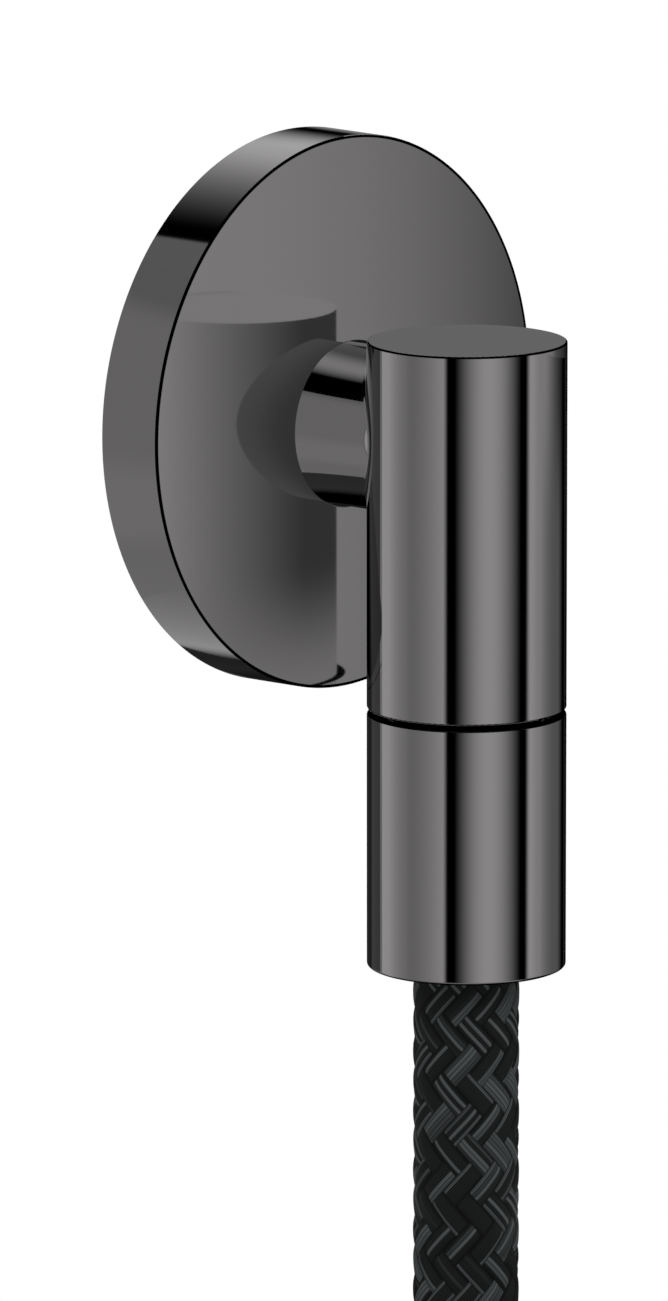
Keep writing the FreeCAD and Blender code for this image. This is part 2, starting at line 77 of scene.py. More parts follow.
# Elbow and nuts
NECK_RADIUS = 10.3 * MM
BARREL_RADIUS = 12.5 * MM
BARREL_OUT = 28.5 * MM
BARREL_TOP = 12.7 * MM
BARREL_BOTTOM = -33.7 * MM
BLEND_RADIUS = 1.1 * MM
NUT_TOP = -34.4 * MM
NUT_BOTTOM = -66.7 * MM
THREAD_PITCH = 1.814 * MM
THREAD_DEPTH = 1.16 * MM

# Radii in millimetres: the nipple's thread, and both hose nuts' thread, groove behind it, tail and chamfers
NIPPLE_THREAD_MM = 10.4775
NUT_THREAD_MM = 10.5475
NUT_GROOVE_MM = 10.8475
NUT_TAIL_MM = 8.05
NUT_CHAMFER_MM = 0.5

# Hose
HOSE_RADIUS = 6.7 * MM
HOSE_END_OUT = 50.0 * MM
CARRIERS = 12
PLAIT_PITCH = 3.85 * MM
PLAIT_RELIEF = 0.30 * MM
FINE_CELLS = 6
COARSE_CELLS = 3
FINE_UNTIL = 78.0 * MM

# Hank
COLUMN = 6.1 * MM
LAYER = 7.0 * MM
HANK_REAR_OUT = 22.0 * MM
FOLD_RADIUS = 41.0 * MM
FOLD_NECK = 60.0 * MM
UPPER_LEAN = 9.5 * MM
LOWER_LEAN = -9.5 * MM
WAIST_MIDDLE = -241.0 * MM
WAIST_HALF = 14.0 * MM
RUNS = 5
HOSE_END = -377.0 * MM

# Strap round the hank
STRAP_CLEARANCE = 0.12 * MM
STRAP_THICKNESS = 1.15 * MM
STRAP_OVERLAP = 1.0 * MM
STRAP_HALF_WIDTH = 6.0 * MM
STRAP_EDGE = 0.35 * MM

# Stage: the tent of reflection cards, and the floor that keeps the shadow
TENT_RADIUS = 105 * MM
TENT_TOP = 83 * MM
TENT_FLOOR = -100 * MM
TENT_END = -450 * MM
FLOOR = -0.42
FLOOR_RADIUS = 0.9
FLOOR_FADE = (0.3, 0.88)
UP, OUT, RIGHT = np.array(((0.0, 0.0, 1.0), (0.0, -1.0, 0.0), (1.0, 0.0, 0.0)))


def put_object(name, data):
    """New object in the scene."""
    placed = bpy.data.objects.new(name, data)
    bpy.context.scene.collection.objects.link(placed)
    return placed


def make_camera():
    """Camera at azimuth and elevation round a point out of the wall, moved aside and up by a little."""
    azimuth, elevation, roll = (math.radians(a) for a in (CAMERA_AZIMUTH, CAMERA_ELEVATION, CAMERA_ROLL))
    back = Vector((math.sin(azimuth) * math.cos(elevation), -math.cos(azimuth) * math.cos(elevation),
                   math.sin(elevation)))
    level = Vector((math.cos(azimuth), math.sin(azimuth), 0))
    upright = back.cross(level)
    right = level * math.cos(roll) + upright * math.sin(roll)
    up = upright * math.cos(roll) - level * math.sin(roll)
    place = Vector((0, -CAMERA_TARGET_OUT, 0)) + right * CAMERA_ASIDE + up * CAMERA_RAISED
    place += back * CAMERA_DISTANCE
    data = bpy.data.cameras.new("camera")
    data.sensor_width = SENSOR_MM
    data.lens = LENS_MM
    data.clip_start = 0.05
    data.clip_end = 50
    camera = put_object("camera", data)
    rotation = Matrix((right, up, back)).transposed().to_4x4()
    camera.matrix_world = Matrix.Translation(place) @ rotation
    bpy.context.scene.camera = camera


# Shader nodes

class Socket:
    """An output of a node; the operators on it add Math nodes."""

    def __init__(self, tree, socket):
        self.tree = tree
        self.socket = socket

    def math(self, operation, *others):
        return self.tree.add("Math", {"operation": operation}, self, *others)

    def __rsub__(self, other):
        return self.tree.add("Math", {"operation": "SUBTRACT"}, other, self)

    def floor(self):
        return self.math("FLOOR")

    def part(self, name):
        """Another output of the same node."""
        return Socket(self.tree, self.socket.node.outputs[name])

    def between(self, low, high):
        """Smooth step from 0 at low to 1 at high."""
        return self.tree.add("MapRange", {"interpolation_type": "SMOOTHSTEP", "clamp": True}, self, low, high)

    def choose(self, when_zero, when_one):
        """Mix of two values by this one."""
        return self.tree.add("Mix", {"data_type": "FLOAT"}, Factor=self, A=when_zero, B=when_one)


for method, node_operation in (
        ("__add__", "ADD"), ("__sub__", "SUBTRACT"), ("__mul__", "MULTIPLY"), ("__truediv__", "DIVIDE"),
        ("__pow__", "POWER"), ("__mod__", "FLOORED_MODULO"), ("__lt__", "LESS_THAN"),
        ("__abs__", "ABSOLUTE")):
    setattr(Socket, method, partialmethod(Socket.math, node_operation))


class Tree:
    """Node tree of a material or the world, emptied."""

    def __init__(self, owner):
        owner.use_nodes = True
        self.nodes = owner.node_tree.nodes
        self.links = owner.node_tree.links
        self.nodes.clear()

    def add(self, kind, settings=None, *values, **named):
        """Adds a node, its settings first, then its inputs by order or name, and returns its first output."""
        node = self.nodes.new("ShaderNode" + kind)
        for key, value in (settings or {}).items():
            setattr(node, key, value)
        inputs = [s for s in node.inputs if s.enabled]
        for place, value in list(enumerate(values)) + list(named.items()):
            if isinstance(place, int):
                socket = inputs[place]
            else:
                socket = next(s for s in inputs if s.name == place.replace("_", " "))
            if isinstance(value, Socket):
                self.links.new(value.socket, socket)
            else:
                socket.default_value = value
        outputs = [s for s in node.outputs if s.enabled]
        return Socket(self, outputs[0]) if outputs else None

    def mix_colour(self, factor, first, second):
        """Colour between two others."""
        return self.add("Mix", {"data_type": "RGBA"}, Factor=factor, A=first, B=second)

    def place(self):
        """Object coordinates."""
        return self.add("TexCoord").part("Object")

    def noise(self, point, scale, detail=2.0, roughness=0.5):
        """Fractal noise between about 0 and 1."""
        return self.add("TexNoise", None, Vector=point, Scale=scale, Detail=detail, Roughness=roughness)

    def surface(self, shader):
        """Joins a shader to the material's output."""
        self.add("OutputMaterial", None, Surface=shader)

    def principled(self, **inputs):
        """Makes the material one Principled shader with these inputs."""
        self.surface(self.add("BsdfPrincipled", None, **inputs))

    def bump(self, height, distance, strength=1.0):
        """Normal bent by a height."""
        return self.add("Bump", None, Height=height, Distance=distance, Strength=strength)


def new_material(name):
    material = bpy.data.materials.new(name)
    return material, Tree(material)


def unit(vectors):
    return vectors / np.linalg.norm(vectors, axis=1)[:, None]


def colour(red, green, blue):
    return (red, green, blue, 1.0)


def grey(level):
    return colour(level, level, level)


def black_chrome():
    """Polished dark chrome, with a faint unevenness of its gloss."""
    material, tree = new_material("black_chrome")
    point = tree.place()
    gloss = tree.noise(point, 90.0, 3.0)
    tree.principled(Base_Color=colour(0.24, 0.232, 0.236), Metallic=1.0, Roughness=gloss * 0.02 + 0.045)
    return material


def brass():
    """Machined brass with fine turning marks round its axis."""
    material, tree = new_material("bare_brass")
    point = tree.place()
    stretched = tree.add("VectorMath", {"operation": "MULTIPLY"}, point, (300, 9000, 9000))
    marks = tree.noise(stretched, 1.0, 2.0)
    tint = tree.mix_colour(tree.noise(point, 120.0), colour(0.62, 0.43, 0.17), colour(0.76, 0.56, 0.27))
    tree.principled(Base_Color=tint, Metallic=1.0, Roughness=marks * 0.12 + 0.2,
                    Normal=tree.bump(marks, 0.01 * MM, 0.4))
    return material


def grained(name, dark, pale, noise, spread, rough, bump=None, metallic=0.0):
    """Material whose colour, gloss and bump follow one noise; its roughness is rough + spread * noise."""
    material, tree = new_material(name)
    texture = tree.noise(tree.place(), *noise)
    inputs = {"Base_Color": tree.mix_colour(texture, dark, pale), "Metallic": metallic,
              "Roughness": texture * spread + rough if spread else rough}
    if bump is not None:
        inputs["Normal"] = tree.bump(texture, *bump)
    tree.principled(**inputs)
    return material


def steel(name, shade, rough):
    """Plain or drawn steel, slightly clouded."""
    dull, bright = colour(shade * 0.85, shade * 0.85, shade * 0.87), colour(shade, shade, shade * 1.02)
    return grained(name, dull, bright, (400.0, 3.0), 0.15, rough, metallic=1.0)


def rubber(name, shade, rough, grain):
    """Moulded rubber or foam, with a grain of the size given."""
    return grained(name, grey(shade * 0.7), grey(shade * 1.3), (1.0 / grain, 3.0, 0.6), 0.2, rough,
                   (grain * 0.2, 0.5))


def plastic():
    """White moulded plastic with a fine satin texture."""
    return grained("white_plastic", colour(0.74, 0.74, 0.71), colour(0.81, 0.81, 0.79), (2500.0, 2.0),
                   0.15, 0.35, (0.02 * MM, 0.3))


def strap():
    """Black hook-and-loop strap: a nap of short loops."""
    return grained("tie_strap", colour(0.006, 0.006, 0.007), colour(0.034, 0.034, 0.037),
                   (1900.0, 3.0, 0.7), 0.0, 0.85, (0.25 * MM, 0.9))


def braid():
    """Black textile plait: twelve carriers each way, over two and under two, of fine ribbed threads.

    U runs once round the hose and V counts plait pitches along it. 12U + V and 12U - V number the
    carriers of the two directions, and the floor of their difference tells which one lies on top.
    Some cords and some whole carriers are lighter, by a noise of carrier, stretch and cord; the
    numbers added to these keep the draws apart. The colour also carries painted shade: darker in the
    grooves between threads and between cords, and near black along each carrier's edges."""
    material, tree = new_material("braided_hose")
    split = tree.add("SeparateXYZ", None, tree.add("TexCoord").part("UV"))
    turn, along = split.part("X") * CARRIERS, split.part("Y")
    first, second = turn + along, turn - along
    first_index, second_index = first.floor(), second.floor()
    step = first_index - second_index
    first_on_top = (step % 4) < 1.5
    across = first_on_top.choose(second - second_index, first - first_index)
    carrier = first_on_top.choose(second_index % CARRIERS + 40, first_index % CARRIERS)
    span = (step / 4).floor()
    threads = 9
    cords = 5
    cord_index = (across * cords).floor()
    whole = tree.add("TexWhiteNoise", {"noise_dimensions": "3D"},
                     tree.add("CombineXYZ", None, carrier, span, 3.0))
    single = tree.add("TexWhiteNoise", {"noise_dimensions": "3D"},
                      tree.add("CombineXYZ", None, carrier, span, cord_index + 11.0))
    light_cord = single.between(0.64, 0.78)
    light_carrier = whole.between(0.89, 0.95) * 0.8
    light = light_cord.math("MAXIMUM", light_carrier)
    rib = (across * threads) % 1.0
    crown = 1 - (rib * 2 - 1) ** 2
    cord_rib = (across * cords) % 1.0
    cord_crown = 1 - (abs(cord_rib * 2 - 1)) ** 4
    edge = 1 - (abs(across * 2 - 1)) ** 6
    # Painted shade: dark in the grooves between threads and lighter on their crowns; the lighter cords fade
    # to dark between cords, and each carrier's edges go near black
    dark = tree.mix_colour(crown, colour(0.0004, 0.0004, 0.0005), colour(0.0150, 0.0158, 0.0160))
    pale = tree.mix_colour(crown, colour(0.038, 0.043, 0.043), colour(0.080, 0.090, 0.091))
    shade = tree.mix_colour(light * cord_crown, dark, pale)
    shade = tree.mix_colour(edge, colour(0.0010, 0.0010, 0.0011), shade)
    height = crown * 0.35 + light * cord_crown * 0.65
    tree.principled(Base_Color=shade, Roughness=0.62 - light * 0.1, Specular_IOR_Level=0.05,
                    Normal=tree.bump(height, 0.06 * MM, 0.8))
    return material


# Meshes

def put_mesh(name, points, faces, material, normals=None, uvs=None):
    """Object of a mesh that is smooth, with its normals and its map where they are given."""
    mesh = bpy.data.meshes.new(name)
    mesh.from_pydata(points.tolist(), [], faces)
    mesh.update()
    mesh.shade_smooth()
    if uvs is not None:
        layer = mesh.uv_layers.new(name="plait")
        layer.data.foreach_set("uv", uvs.astype(np.float32).ravel())
    if normals is not None:
        mesh.normals_split_custom_set_from_vertices(normals.tolist())
    mesh.materials.append(material)
    return put_object(name, mesh)


def grid_faces(rows, columns, rows_closed, columns_closed=True):
    """Quads of a grid of rows and columns, the last joined to the first where that is said."""
    row = np.arange(rows if rows_closed else rows - 1)[:, None]
    column = np.arange(columns if columns_closed else columns - 1)[None, :]
    after_row, after_column = (row + 1) % rows, (column + 1) % columns
    corners = [row * columns + column, after_row * columns + column,
               after_row * columns + after_column, row * columns + after_column]
    return np.stack([np.broadcast_to(c, (len(row), column.size)) for c in corners], -1).reshape(-1, 4)


def rounded(corners, steps=6):
    """Closed profile with round corners.

    Each corner is (radius, height, rounding, centre share). Its arc is tangent to both sides: it
    starts and ends rounding / tan(half the angle) from the corner. Returns the points, their
    outward normals and their centre shares."""
    corners = np.array(corners, float)
    given, radius, share = corners[:, :2], corners[:, 2], corners[:, 3]
    back = unit(np.roll(given, 1, 0) - given)
    ahead = unit(np.roll(given, -1, 0) - given)
    half = np.arccos(np.clip((back * ahead).sum(1), -1, 1)) / 2
    middle = unit(back + ahead)
    centre = given + middle * (radius / np.sin(half))[:, None]
    turn_side = np.sign(back[:, 0] * ahead[:, 1] - back[:, 1] * ahead[:, 0])
    swing = (math.pi - 2 * half)[:, None] * (np.linspace(-0.5, 0.5, steps + 1))[None, :]
    sway = -turn_side[:, None] * swing
    spoke = -middle[:, None, :] * np.cos(sway)[..., None]
    spoke = spoke + np.stack([middle[:, None, 1] * np.sin(sway), -middle[:, None, 0] * np.sin(sway)], -1)
    points = centre[:, None, :] + spoke * radius[:, None, None]
    area = (given[:, 0] * np.roll(given[:, 1], -1) - np.roll(given[:, 0], -1) * given[:, 1]).sum()
    outward = spoke * (turn_side * -np.sign(area))[:, None, None]
    shares = np.repeat(share, steps + 1)
    return points.reshape(-1, 2), outward.reshape(-1, 2), shares


def ring_points(profile, outward, shift, around):
    """Points and normals of a profile turned about an axis: radius * (cos a, sin a), height along it."""
    angle = np.arange(around) * FULL / around
    wave = np.stack([np.cos(angle), np.sin(angle)], -1)
    flat = profile[:, 0, None, None] * wave + shift[:, None, :]
    height = np.broadcast_to(profile[:, 1, None], flat.shape[:2])
    bent = outward[:, 0, None, None] * wave
    rise = np.broadcast_to(outward[:, 1, None], flat.shape[:2])
    return np.dstack([flat, height]), np.dstack([bent, rise])


def turned_piece(name, corners, material, layout, centres=((0, 0), (0, 0)), around=192):
    """Turned piece from a closed, rounded profile; layout sets its axis in the frame.

    A corner's centre share moves its circle from the first centre to the second, so one face can
    have an outline and a hole that don't share a middle."""
    profile, outward, shares = rounded(corners)
    first, second = (np.array(c, float) for c in centres)
    shift = first + shares[:, None] * (second - first)
    points, normals = ring_points(profile, outward, shift, around)
    points, normals = layout(points, normals)
    points = points.reshape(-1, 3)
    faces = turned_out(points, grid_faces(len(profile), around, True))
    return put_mesh(name, points, faces.tolist(), material, normals.reshape(-1, 3))


def turned_out(points, faces):
    """Faces of a closed surface, turned round if its volume, the sum of a . (b x c) / 6, is negative."""
    first, second, third, fourth = (points[faces[:, i]] for i in range(4))
    volume = (first * np.cross(second, third)).sum() + (first * np.cross(third, fourth)).sum()
    return faces[:, ::-1] if volume < 0 else faces


def out_of_wall(points, normals):
    """Lays (x, z, height) so that the height points out of the wall."""
    return points[..., [0, 2, 1]] * (1, -1, 1), normals[..., [0, 2, 1]] * (1, -1, 1)


def standing(x, out, z, direction=1):
    """Layout of a turned piece about a vertical axis, its height up or down from z."""
    def place(points, normals):
        moved = points * (1, direction, direction) + (x, -out, z)
        return moved, normals * (1, direction, direction)
    return place


def sheet(first, second, third):
    """Points of a surface from its three coordinates, each a number, a row, a column or a grid."""
    return np.stack(np.broadcast_arrays(first, second, third), -1)


# Cord

def hose_route():
    """Control points of the hose: down from the nut, five runs through the waist, and down to its end.

    A fold goes round its circle in steps of 30 degrees, on a radius that the spline's corners cut
    back to the circle's own. It leans out of its layer by the root of a sine, most in its middle."""
    points = [(0, -28.5, -50.35), (0, -28.5, -98.0), (0, -28.5, -124.0), (-6.1, -22.0, -180.0)]
    points = [tuple(value * MM for value in point) for point in points]
    step = math.radians(30)
    reach = FOLD_RADIUS / math.cos(step / 2)
    lean_angle = math.asin(FOLD_RADIUS / math.hypot(COLUMN, FOLD_NECK)) - math.atan2(COLUMN, FOLD_NECK)
    turns = round((math.pi + 2 * lean_angle) / step)
    waist_top, waist_bottom = WAIST_MIDDLE + WAIST_HALF, WAIST_MIDDLE - WAIST_HALF
    for run in range(RUNS):
        down = run % 2 == 0
        side = -COLUMN if down else COLUMN
        out = HANK_REAR_OUT + run * LAYER
        ends = (waist_top, waist_bottom) if down else (waist_bottom, waist_top)
        points += [(side, -out, ends[0]), (side, -out, ends[1])]
        if run == RUNS - 1:
            break
        lean = LOWER_LEAN if down else UPPER_LEAN
        sign = -1 if down else 1
        middle = ends[1] + sign * FOLD_NECK
        for index in range(turns + 1):
            share = index / turns
            angle = (0.5 - share) * turns * step
            x = math.copysign(1, side) * reach * math.sin(angle)
            z = middle + sign * reach * math.cos(angle)
            ease = math.sin(math.pi * (0.12 + 0.76 * share)) ** 0.5
            points.append((x, -(out + LAYER * share + lean * ease), z))
    for share in (0.35, 0.7, 1.0):
        z = waist_bottom + (HOSE_END - waist_bottom) * share
        points.append((-COLUMN, -HOSE_END_OUT, z))
    return points


def spline_points(route):
    """The route's smooth line: the points of its NURBS spline of order 3."""
    curve = bpy.data.curves.new("hose_line", "CURVE")
    curve.dimensions = "3D"
    curve.resolution_u = 24
    spline = curve.splines.new("NURBS")
    spline.points.add(len(route) - 1)
    for point, place in zip(spline.points, route):
        point.co = (*place, 1.0)
    spline.order_u = 3
    spline.use_endpoint_u = True
    holder = bpy.data.objects.new("hose_line", curve)
    mesh = bpy.data.meshes.new_from_object(holder)
    line = np.array([v.co for v in mesh.vertices], float)
    bpy.data.meshes.remove(mesh)
    bpy.data.objects.remove(holder)
    bpy.data.curves.remove(curve)
    return line


def spread_along(line, at):
    """Points and unit tangents of a line at distances along it."""
    along = np.concatenate([[0], np.cumsum(np.linalg.norm(np.diff(line, axis=0), axis=1))])
    tangent = np.gradient(line, along, axis=0)
    points = np.stack([np.interp(at, along, line[:, k]) for k in range(3)], 1)
    return points, unit(np.stack([np.interp(at, along, tangent[:, k]) for k in range(3)], 1))


def plait_height(first, second):
    """Height of the plait, 0 to 1, from the two carrier numbers.

    The carrier on top is crowned across, 1 - |2t - 1|^2.5, and over its two cells, 1 - |2s - 1|^4."""
    slack = 1e-6
    first_index, second_index = np.floor(first + slack), np.floor(second + slack)
    step = np.mod(first_index - second_index, 4)
    on_top = step < 1.5
    t_first, t_second = first - first_index, second - second_index
    across = np.where(on_top, t_first, t_second)
    over = np.where(on_top, (1 - step + t_second) / 2, (step - 2 + t_first) / 2)
    return (1 - np.abs(2 * across - 1) ** 2.5) * (1 - np.abs(2 * over - 1) ** 4)


def plait_rings(line, start, stop, cells):
    """Rings of the plaited hose from one distance along it to another.

    Points lie on a diamond lattice whose edges are the carriers' edges: every second ring is turned
    by half a step. Radius = hose radius + relief * (plait height - 1)."""
    rise = PLAIT_PITCH / (2 * cells)
    first_ring, last_ring = round(start / rise), round(stop / rise)
    ring = np.arange(first_ring, last_ring + 1)
    around = CARRIERS * cells
    centre, tangent = spread_along(line, ring * rise)
    side = unit(np.cross(tangent, (0.0, 1.0, 0.0)))
    other = np.cross(tangent, side)
    turn = (np.arange(around)[None, :] + 0.5 * (ring % 2)[:, None]) / around
    along = np.broadcast_to((ring * rise / PLAIT_PITCH)[:, None], turn.shape)
    height = plait_height(turn * CARRIERS + along, turn * CARRIERS - along)
    radius = HOSE_RADIUS + PLAIT_RELIEF * (height - 1)
    angle = FULL * turn
    points = (centre[:, None, :] + (radius * np.cos(angle))[..., None] * side[:, None, :]
              + (radius * np.sin(angle))[..., None] * other[:, None, :])
    return points, centre, ring, around


def diamond_faces(ring, around, first_index):
    """Diamonds of a lattice of rings, each from a ring's point to the ring after the next.

    A face is given by its ring and column; the columns that pass the seam keep counting for the map."""
    count = len(ring)
    low = np.arange(count - 2)[:, None]
    column = np.arange(around)[None, :]
    odd = (ring[:-2] % 2)[:, None]
    right = column + odd
    left = right - 1
    rows = [low, low + 1, low + 2, low + 1]
    columns = [column, right, column, left]
    shape = (count - 2, around)
    rows = np.stack([np.broadcast_to(r, shape) for r in rows], -1).reshape(-1, 4)
    columns = np.stack([np.broadcast_to(c, shape) for c in columns], -1).reshape(-1, 4)
    return first_index + rows * around + columns % around, rows, columns


def lattice_map(rows, columns, ring, around, rise):
    """Map of a lattice: turns round the hose, and plait pitches along it."""
    number = ring[rows]
    return np.stack([(columns + 0.5 * (number % 2)) / around, number * rise / PLAIT_PITCH], -1)


def make_hose(material):
    """The whole hose as one tube: a fine lattice down past the view, and a coarser one in the hank.

    Where the two meet, each coarse cell takes two fine ones, and half diamonds close the rims."""
    line = spline_points(hose_route())
    length = float(np.linalg.norm(np.diff(line, axis=0), axis=1).sum())
    meet = round(FINE_UNTIL / PLAIT_PITCH) * PLAIT_PITCH
    end = math.floor(length / PLAIT_PITCH) * PLAIT_PITCH
    all_points, faces, maps, path = [], [], [], []
    first_index = 0
    ends = []
    for start, stop, cells in ((0.0, meet, FINE_CELLS), (meet, end, COARSE_CELLS)):
        rise = PLAIT_PITCH / (2 * cells)
        points, centre, ring, around = plait_rings(line, start, stop, cells)
        quads, rows, columns = diamond_faces(ring, around, first_index)
        faces.append(quads)
        maps.append(lattice_map(rows, columns, ring, around, rise))
        for row, turn in ((0, 1), (len(ring) - 1, -1)):
            tips, tip_rows, tip_columns = rim_faces(ring, around, first_index, row, turn)
            faces.append(tips)
            maps.append(lattice_map(tip_rows, tip_columns, ring, around, rise))
        ends.append((first_index, first_index + (len(ring) - 1) * around, around))
        all_points.append(points.reshape(-1, 3))
        path.append(centre)
        first_index += points.shape[0] * around
    joint, joint_map = seam_faces(ends[0][1], ends[0][2], ends[1][0], ends[1][2], meet)
    faces.append(joint)
    maps.append(joint_map)
    face_list = [face for group in faces for face in group.tolist()]
    for first, around, turn in ((ends[0][0], ends[0][2], -1), (ends[1][1], ends[1][2], 1)):
        face_list.append((first + np.arange(around)[::turn]).tolist())
        maps.append(np.zeros((around, 2)))
    uvs = np.concatenate([m.reshape(-1, 2) for m in maps])
    hose = put_mesh("hose", np.concatenate(all_points), face_list, material, None, uvs)
    return hose, np.concatenate(path)


def rim_faces(ring, around, first_index, row, turn):
    """Half diamonds that fill the rim ring's notches, seen from outside."""
    column = np.arange(around)
    odd = ring[row] % 2
    inner = row + turn
    rows = np.stack([np.full(around, row), np.full(around, row), np.full(around, inner)], -1)
    columns = np.stack([column, column + 1, column + odd], -1)
    if turn < 0:
        rows, columns = rows[:, ::-1], columns[:, ::-1]
    return first_index + rows * around + columns % around, rows, columns


def seam_faces(fine_index, fine_around, coarse_index, coarse_around, meet):
    """Flat triangles of no width between the last fine ring and the first coarse one, two to one."""
    column = np.arange(coarse_around)
    faces = np.stack([coarse_index + column, coarse_index + (column + 1) % coarse_around,
                      fine_index + (2 * column + 1) % fine_around], -1)
    turn = np.stack([column, column + 1, column + 0.5], -1) / coarse_around
    return faces, np.stack([turn, np.full(turn.shape, meet / PLAIT_PITCH)], -1)


# Turned pieces

def profile_mm(*corners):
    """Corners given in millimetres, the centre share left as it is."""
    return [(c[0] * MM, c[1] * MM, c[2] * MM if len(c) > 2 else 0.02 * MM, c[3] if len(c) > 3 else 0.0)
            for c in corners]


def make_rosette(material):
    """Hollow-backed disc. Its rim is round the rosette's own centre and its hub round the neck, so the
    face's outline and its hole are circles about two centres."""
    hole_low, hole_high = HUB_START / MM, ROSETTE_DEPTH / MM
    groove_low, groove_high = (GRIP_OUT - GRIP_GROOVE_HALF) / MM, (GRIP_OUT + GRIP_GROOVE_HALF) / MM
    hole, groove, hub = ROSETTE_HOLE / MM, GRIP_GROOVE_RADIUS / MM, HUB_RADIUS / MM
    inside = (ROSETTE_DEPTH - ROSETTE_WALL) / MM
    ledge, seal = ROSETTE_LEDGE / MM, SEAL_DEPTH / MM
    corners = profile_mm(
        (ROSETTE_BACK_RADIUS / MM, 0, 0.1), (ROSETTE_FRONT_RADIUS / MM, hole_high, 0.22),
        (hole, hole_high, 0.15, 1), (hole, groove_high, 0.1, 1), (groove, groove_high, 0.1, 1),
        (groove, groove_low, 0.1, 1), (hole, groove_low, 0.1, 1), (hole, hole_low, 0.15, 1),
        (hub, hole_low, 0.3, 1), (hub, inside, 0.5, 1), (ledge, inside, 1.2), (ledge, seal, 0.1),
        (ledge + 1, seal, 0.1), (ledge + 1, 0, 0.1))
    return turned_piece("rosette", corners, material, out_of_wall, (ROSETTE_CENTRE, (0, 0)), 256)


def nut_inside(tail, seat, mouth):
    """Corners of a hose nut's inside by three heights: tail, groove of 5 mm on the seat, thread, mouth."""
    return ((NUT_TAIL_MM + NUT_CHAMFER_MM, tail), (NUT_TAIL_MM, tail + NUT_CHAMFER_MM),
            (NUT_TAIL_MM, seat), (NUT_GROOVE_MM, seat), (NUT_GROOVE_MM, seat + 5),
            (NUT_THREAD_MM, seat + 5), (NUT_THREAD_MM, mouth - NUT_CHAMFER_MM),
            (NUT_THREAD_MM + NUT_CHAMFER_MM, mouth))


def make_hose_nut(material):
    """Cylindrical union nut, as wide as the barrel and turned about its axis."""
    top, bottom, outside = NUT_TOP / MM, NUT_BOTTOM / MM, BARREL_RADIUS / MM
    corners = profile_mm(*nut_inside(bottom, -49.1, top), (outside, top, 0.25), (outside, bottom, 0.4))
    return turned_piece("hose_union_nut", corners, material, standing(0, BARREL_OUT, 0))


def thread_wave(turn, height, pitch):
    """Ridges of a pipe thread, 0 in the grooves and 1 on the crests: a triangle wave with rounded ends."""
    slope = np.abs(2 * np.mod(height / pitch - turn, 1) - 1)
    ramp = np.clip((slope - 0.08) / 0.84, 0, 1)
    return 0.5 * ramp + 0.5 * ramp ** 2 * (3 - 2 * ramp)


def ridged_piece(name, corners, material, layout, thread_corner, thread_rows, hexagon=None, around=144):
    """Turned piece whose stretch after one corner carries a thread: radius = profile - depth * (1 - ridge).

    Where a row lies on the hexagon's heights and inside it, its radius is half the flats / cos(a), a
    being the angle from the nearest flat's middle."""
    steps = 3
    profile = rounded(corners, steps)[0]
    last = (thread_corner + 1) * (steps + 1) - 1
    extra = np.linspace(profile[last], profile[last + 1], thread_rows + 2)[1:-1]
    profile = np.insert(profile, last + 1, extra, axis=0)
    weight = np.zeros(len(profile))
    share = np.linspace(0, 1, thread_rows + 2)
    weight[last:last + thread_rows + 2] = np.clip(np.minimum(share, 1 - share) * 14, 0, 1)
    turn = np.arange(around) / around
    ridge = thread_wave(turn[None, :], profile[:, 1, None], THREAD_PITCH)
    radius = profile[:, 0, None] - THREAD_DEPTH * weight[:, None] * (1 - ridge)
    if hexagon is not None:
        flats, low, high, limit = hexagon
        inside = (profile[:, 1] > low) & (profile[:, 1] < high) & (profile[:, 0] < limit)
        away = np.mod(turn * FULL, FULL / 6) - FULL / 12
        six = np.broadcast_to(flats / 2 / np.cos(away), radius.shape)
        radius = np.where(inside[:, None], six, radius)
    points = sheet(radius * np.cos(turn * FULL), radius * np.sin(turn * FULL), profile[:, 1, None])
    points = layout(points, np.zeros_like(points))[0].reshape(-1, 3)
    faces = turned_out(points, grid_faces(len(profile), around, True))
    piece = put_mesh(name, points, faces.tolist(), material)
    piece.data.set_sharp_from_angle(angle=math.radians(35))
    return piece


def make_wall_nipple(material):
    """Brass nipple: pipe thread, collar, and a spigot with two ring grooves and the grub screw's groove.

    The hexagon is 10.4 mm across flats and takes the bore's front part, between 6 and 21.2 mm."""
    thread = NIPPLE_THREAD_MM
    corners = profile_mm(
        (5, -14.5), (thread - 0.8, -14.5), (thread, -13.7), (thread, 0), (thread - 0.6, 0.02),
        (thread - 0.6, 1.5),
        (13, 1.5, 0.25), (13, 3.5, 0.25), (7.9, 3.5), (7.9, 11.45), (6.9, 12.15), (6.9, 13.85), (7.9, 14.55),
        (7.9, 15.3), (6.5, 15.3), (6.5, 17.1), (7.9, 17.1), (7.9, 18.2), (6.5, 18.2), (6.5, 20),
        (7.9, 20), (7.9, 20.7), (7.5, 21.1), (6.01, 21.1), (6.01, 6.1), (5, 6.1))
    return ridged_piece("wall_nipple_threaded", corners, material, out_of_wall, 2, 110,
                        (10.4 * MM, 6.0 * MM, 21.2 * MM, 6.2 * MM))


def make_end_nut(material):
    """Conical union nut at the hose's far end, its mouth down, with the thread inside the mouth."""
    corners = profile_mm(*nut_inside(-12, 1.25, 16.25),
                         (12.4, 16.25, 0.5), (12.4, 2.25, 14), (9.6, -12, 0.25))
    return ridged_piece("end_union_nut", corners, material,
                        standing(-COLUMN, HOSE_END_OUT, HOSE_END, -1), 5, 70, around=160)


